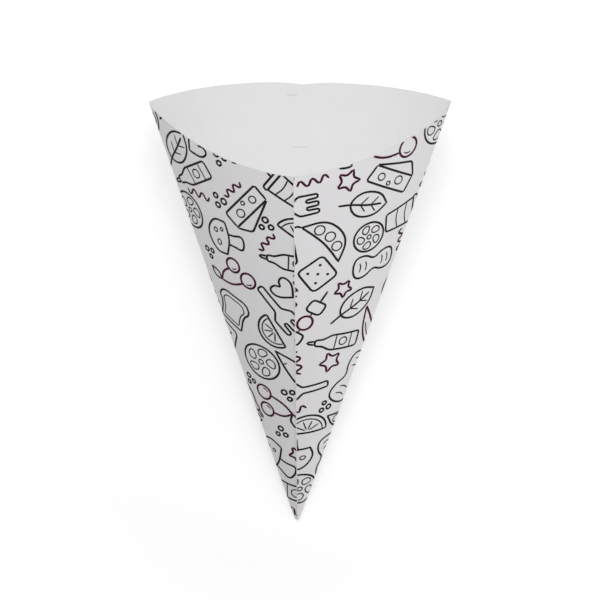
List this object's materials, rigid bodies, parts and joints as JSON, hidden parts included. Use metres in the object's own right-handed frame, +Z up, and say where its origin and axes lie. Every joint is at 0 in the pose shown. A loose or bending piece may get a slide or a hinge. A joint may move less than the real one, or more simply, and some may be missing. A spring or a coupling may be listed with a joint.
{
  "type": "paper fry cone",
  "caption": "Paper cone for fries, bent from one board blank with folded sides, a lapped front seam, a low front rim and a taller back rim, lying on its back.",
  "frame": {"origin": "centre of the bounding box, on the surface that the cone lies on", "axes": "+Y from the point to the mouth, +Z up through the front seam, +X to the right seen from above with the mouth away"},
  "size_m": [0.1184, 0.1898, 0.0655],
  "materials": {
    "white_board": "uncoated white board, matt",
    "dark_ink": "matt printed line in near black",
    "plum_ink": "matt printed line in plum"
  },
  "bodies": {
    "root": {"cone_sheet": "white_board"}
  },
  "joints": []
}
